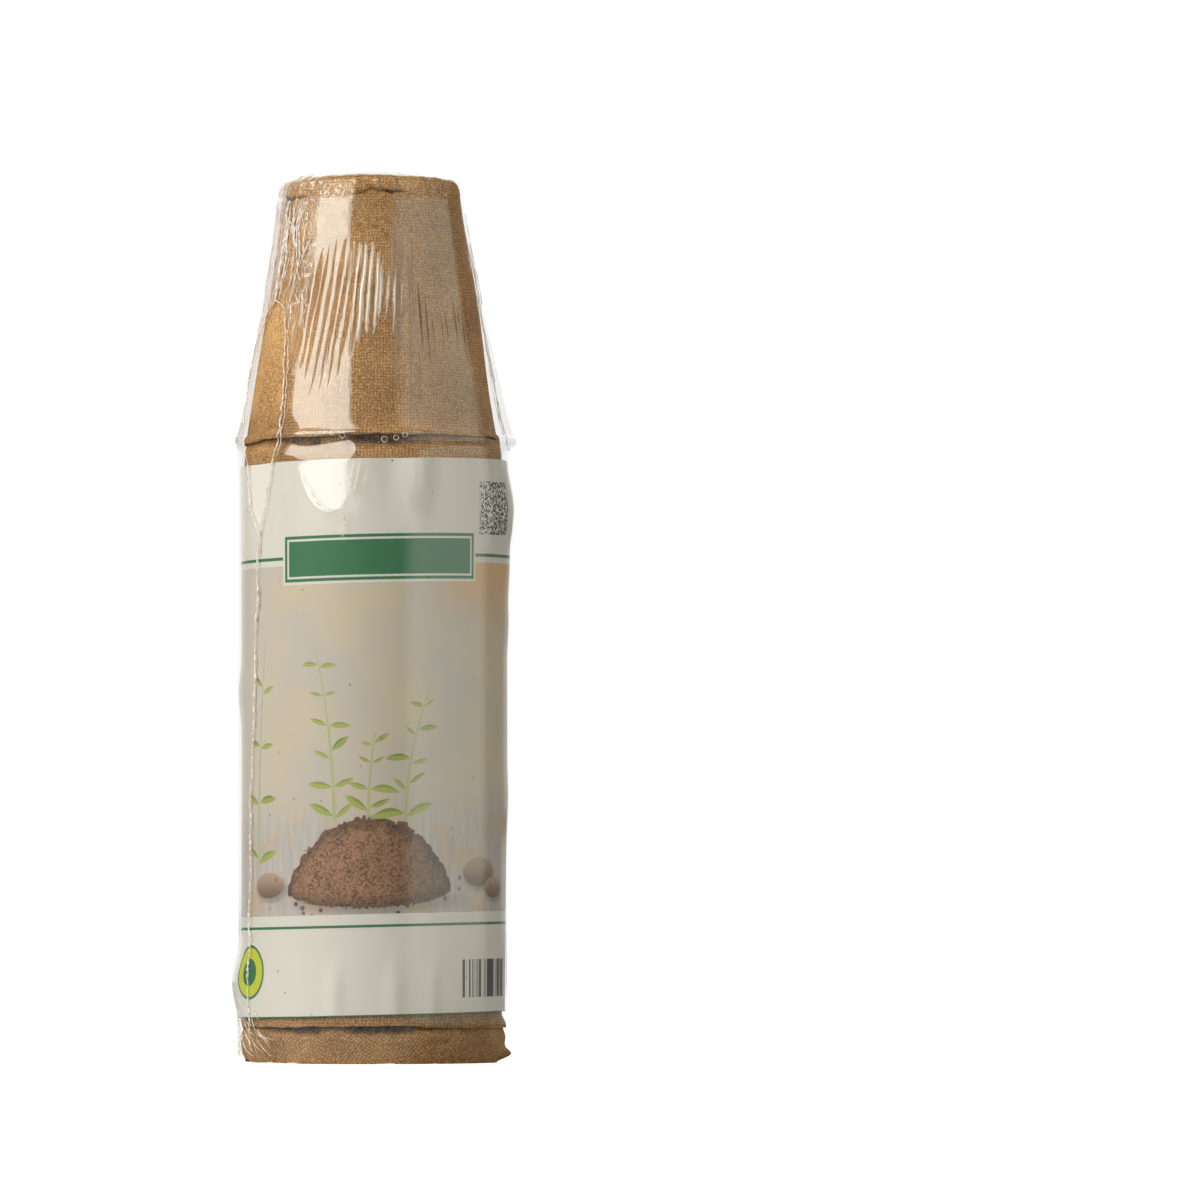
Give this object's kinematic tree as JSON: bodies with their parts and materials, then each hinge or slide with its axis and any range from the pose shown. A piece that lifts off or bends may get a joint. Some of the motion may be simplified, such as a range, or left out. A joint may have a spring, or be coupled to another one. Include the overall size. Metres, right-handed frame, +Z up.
{
  "type": "biodegradable plant pot pack",
  "caption": "Pack of nested round plant pots of moulded plant fibre, standing rim down, held by a printed paper band under clear shrink film that is split at one side",
  "frame": {"origin": "on the ground under the middle of the stack", "axes": "+Z up along the stack, -Y the front of the paper band, +X to the viewer's right"},
  "size_m": [0.0642, 0.0618, 0.2024],
  "materials": {
    "moulded_fibre": "rough, dry, matt",
    "label_paper": "smooth printed paper",
    "clear_film": "clear, glossy, finely wrinkled"
  },
  "bodies": {
    "pot_01": {"pot_01": "moulded_fibre"},
    "pot_02": {"pot_02": "moulded_fibre"},
    "pot_03": {"pot_03": "moulded_fibre"},
    "pot_04": {"pot_04": "moulded_fibre"},
    "pot_05": {"pot_05": "moulded_fibre"},
    "pot_06": {"pot_06": "moulded_fibre"},
    "pot_07": {"pot_07": "moulded_fibre"},
    "pot_08": {"pot_08": "moulded_fibre"},
    "pot_09": {"pot_09": "moulded_fibre"},
    "pot_10": {"pot_10": "moulded_fibre"},
    "pot_11": {"pot_11": "moulded_fibre"},
    "pot_12": {"pot_12": "moulded_fibre"},
    "pot_13": {"pot_13": "moulded_fibre"},
    "pot_14": {"pot_14": "moulded_fibre"},
    "pot_15": {"pot_15": "moulded_fibre"},
    "pot_16": {"pot_16": "moulded_fibre"},
    "pot_17": {"pot_17": "moulded_fibre"},
    "pot_18": {"pot_18": "moulded_fibre"},
    "paper_label": {"paper_label": "label_paper"},
    "film_wrap": {"film_wrap": "clear_film"}
  },
  "joints": [
    {"name": "pot_02_lift", "type": "slide", "parent": "pot_01", "child": "pot_02", "axis": [0, 0, 1], "range_m": [0, 0.055]},
    {"name": "pot_03_lift", "type": "slide", "parent": "pot_02", "child": "pot_03", "axis": [0, 0, 1], "range_m": [0, 0.055]},
    {"name": "pot_04_lift", "type": "slide", "parent": "pot_03", "child": "pot_04", "axis": [0, 0, 1], "range_m": [0, 0.055]},
    {"name": "pot_05_lift", "type": "slide", "parent": "pot_04", "child": "pot_05", "axis": [0, 0, 1], "range_m": [0, 0.055]},
    {"name": "pot_06_lift", "type": "slide", "parent": "pot_05", "child": "pot_06", "axis": [0, 0, 1], "range_m": [0, 0.055]},
    {"name": "pot_07_lift", "type": "slide", "parent": "pot_06", "child": "pot_07", "axis": [0, 0, 1], "range_m": [0, 0.055]},
    {"name": "pot_08_lift", "type": "slide", "parent": "pot_07", "child": "pot_08", "axis": [0, 0, 1], "range_m": [0, 0.055]},
    {"name": "pot_09_lift", "type": "slide", "parent": "pot_08", "child": "pot_09", "axis": [0, 0, 1], "range_m": [0, 0.055]},
    {"name": "pot_10_lift", "type": "slide", "parent": "pot_09", "child": "pot_10", "axis": [0, 0, 1], "range_m": [0, 0.055]},
    {"name": "pot_11_lift", "type": "slide", "parent": "pot_10", "child": "pot_11", "axis": [0, 0, 1], "range_m": [0, 0.055]},
    {"name": "pot_12_lift", "type": "slide", "parent": "pot_11", "child": "pot_12", "axis": [0, 0, 1], "range_m": [0, 0.055]},
    {"name": "pot_13_lift", "type": "slide", "parent": "pot_12", "child": "pot_13", "axis": [0, 0, 1], "range_m": [0, 0.055]},
    {"name": "pot_14_lift", "type": "slide", "parent": "pot_13", "child": "pot_14", "axis": [0, 0, 1], "range_m": [0, 0.055]},
    {"name": "pot_15_lift", "type": "slide", "parent": "pot_14", "child": "pot_15", "axis": [0, 0, 1], "range_m": [0, 0.055]},
    {"name": "pot_16_lift", "type": "slide", "parent": "pot_15", "child": "pot_16", "axis": [0, 0, 1], "range_m": [0, 0.055]},
    {"name": "pot_17_lift", "type": "slide", "parent": "pot_16", "child": "pot_17", "axis": [0, 0, 1], "range_m": [0, 0.055]},
    {"name": "pot_18_lift", "type": "slide", "parent": "pot_17", "child": "pot_18", "axis": [0, 0, 1], "range_m": [0, 0.055]},
    {"name": "paper_label_lift", "type": "slide", "parent": "pot_18", "child": "paper_label", "axis": [0, 0, 1], "range_m": [0, 0.195]},
    {"name": "film_wrap_lift", "type": "slide", "parent": "paper_label", "child": "film_wrap", "axis": [0, 0, 1], "range_m": [0, 0.204]}
  ]
}
